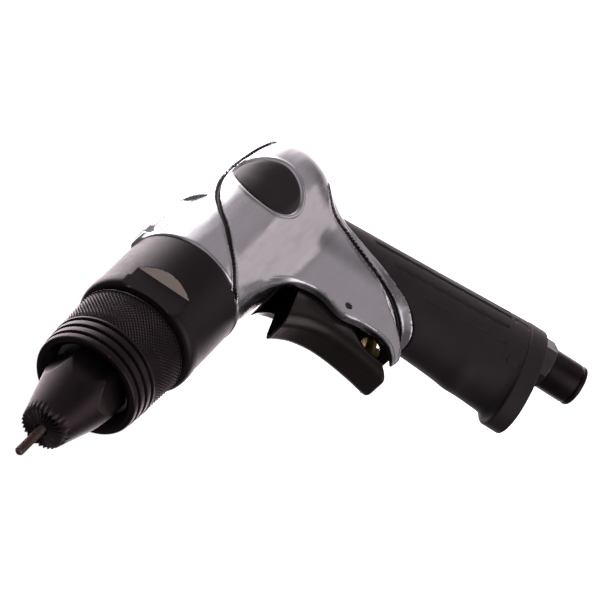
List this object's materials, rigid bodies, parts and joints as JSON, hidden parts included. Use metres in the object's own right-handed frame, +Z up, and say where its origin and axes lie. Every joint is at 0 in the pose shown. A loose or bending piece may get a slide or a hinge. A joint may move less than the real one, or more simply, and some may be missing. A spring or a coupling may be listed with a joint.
{
  "type": "pneumatic rivet nut tool",
  "caption": "Pistol-grip air tool that spins a threaded mandrel through a serrated anvil to set rivet nuts; rocker trigger, adjustable nose.",
  "frame": {"origin": "centre of the anvil face on the mandrel axis", "axes": "+X back along the barrel axis from the nose, +Z up, handle down and leaning back; Y across the tool"},
  "size_m": [0.2764, 0.0586, 0.1966],
  "materials": {
    "mandrel_steel": "dark phosphated thread",
    "black_oxide_steel": "black oxide, satin",
    "black_housing": "smooth black, semi-gloss",
    "cast_aluminium": "polished casting",
    "badge_plate": "gloss black, blank",
    "black_grip": "moulded composite, semi-gloss",
    "black_lever": "moulded lever",
    "dark_steel": "satin grey",
    "gear_steel": "machined and hardened",
    "bright_steel": "ground",
    "plate_alloy": "machined",
    "bronze": "sintered",
    "valve_brass": "turned",
    "seal_rubber": "nitrile rubber",
    "vane_laminate": "phenolic laminate",
    "silencer_felt": "pressed felt"
  },
  "bodies": {
    "housing": {"sleeve_retaining_ring": "bright_steel", "front_housing": "black_housing", "housing_o_ring": "seal_rubber", "spindle_seal": "seal_rubber", "spindle_bearing_outer": "bright_steel", "ring_gear": "gear_steel", "thrust_washer": "bronze", "front_end_plate": "plate_alloy", "motor_cylinder": "gear_steel", "rear_end_plate": "plate_alloy", "motor_dowel": "bright_steel", "front_bearing_outer": "bright_steel", "rear_bearing_outer": "bright_steel", "motor_housing": "cast_aluminium", "lock_screw": "black_oxide_steel", "badge_left": "badge_plate", "badge_right": "badge_plate", "grip_sleeve": "black_grip", "grip_end_cap": "black_grip", "exhaust_silencer": "silencer_felt", "inlet_bushing": "dark_steel", "inlet_o_ring": "seal_rubber", "inlet_screen": "bright_steel", "inlet_connector": "black_oxide_steel", "trigger_pin": "black_oxide_steel", "forward_valve_bushing": "valve_brass", "reverse_valve_bushing": "valve_brass", "forward_valve_spring": "bright_steel", "reverse_valve_spring": "bright_steel", "valve_o_rings": "seal_rubber"},
    "sleeve": {"adjusting_sleeve": "black_oxide_steel"},
    "anvil": {"anvil": "black_oxide_steel", "anvil_carrier": "gear_steel", "carrier_guide_pins": "bright_steel"},
    "spindle": {"spindle": "gear_steel", "planet_pins": "bright_steel", "spindle_bearing_inner": "bright_steel", "mandrel": "mandrel_steel"},
    "planet_1": {"planet_gear_1": "gear_steel"},
    "planet_2": {"planet_gear_2": "gear_steel"},
    "planet_3": {"planet_gear_3": "gear_steel"},
    "rotor": {"rotor": "gear_steel", "rotor_vanes": "vane_laminate", "front_bearing_inner": "bright_steel", "rear_bearing_inner": "bright_steel"},
    "trigger": {"trigger": "black_lever"},
    "forward_valve": {"forward_valve": "valve_brass"},
    "reverse_valve": {"reverse_valve": "valve_brass"}
  },
  "joints": [
    {"name": "sleeve_turn", "type": "hinge", "parent": "housing", "child": "sleeve", "pos_m": [0.05, 0, 0], "axis": [1, 0, 0], "range_deg": [-360, 360]},
    {"name": "anvil_slide", "type": "slide", "parent": "housing", "child": "anvil", "axis": [1, 0, 0], "range_m": [-0.002, 0.002]},
    {"name": "spindle_spin", "type": "hinge", "parent": "housing", "child": "spindle", "pos_m": [0.08, 0, 0], "axis": [1, 0, 0], "continuous": true},
    {"name": "planet_1_spin", "type": "hinge", "parent": "spindle", "child": "planet_1", "pos_m": [0.1, 0, 0.0135], "axis": [1, 0, 0], "continuous": true},
    {"name": "planet_2_spin", "type": "hinge", "parent": "spindle", "child": "planet_2", "pos_m": [0.1, -0.01169, -0.00675], "axis": [1, 0, 0], "continuous": true},
    {"name": "planet_3_spin", "type": "hinge", "parent": "spindle", "child": "planet_3", "pos_m": [0.1, 0.01169, -0.00675], "axis": [1, 0, 0], "continuous": true},
    {"name": "rotor_spin", "type": "hinge", "parent": "housing", "child": "rotor", "pos_m": [0.15, 0, 0], "axis": [1, 0, 0], "continuous": true},
    {"name": "trigger_rock", "type": "hinge", "parent": "housing", "child": "trigger", "pos_m": [0.1645, 0, -0.05803], "axis": [0, 1, 0], "range_deg": [-5.5, 5.5], "stiffness_Nm_per_rad": 0.6},
    {"name": "forward_valve_slide", "type": "slide", "parent": "housing", "child": "forward_valve", "axis": [0.9516, 0, 0.3074], "range_m": [-0.0018, 0.0018], "deforming": ["forward_valve_spring"]},
    {"name": "reverse_valve_slide", "type": "slide", "parent": "housing", "child": "reverse_valve", "axis": [0.9516, 0, 0.3074], "range_m": [-0.0023, 0.0023], "deforming": ["reverse_valve_spring"]}
  ],
  "couplings": [
    {"joint": "anvil_slide", "follows": "sleeve_turn", "m_per_rad": 0.0003183},
    {"joint": "rotor_spin", "follows": "spindle_spin", "ratio": 5},
    {"joint": "planet_1_spin", "follows": "spindle_spin", "ratio": -2.6667},
    {"joint": "planet_2_spin", "follows": "spindle_spin", "ratio": -2.6667},
    {"joint": "planet_3_spin", "follows": "spindle_spin", "ratio": -2.6667},
    {"joint": "forward_valve_slide", "follows": "trigger_rock", "m_per_rad": 0.0169},
    {"joint": "reverse_valve_slide", "follows": "trigger_rock", "m_per_rad": -0.0221}
  ]
}
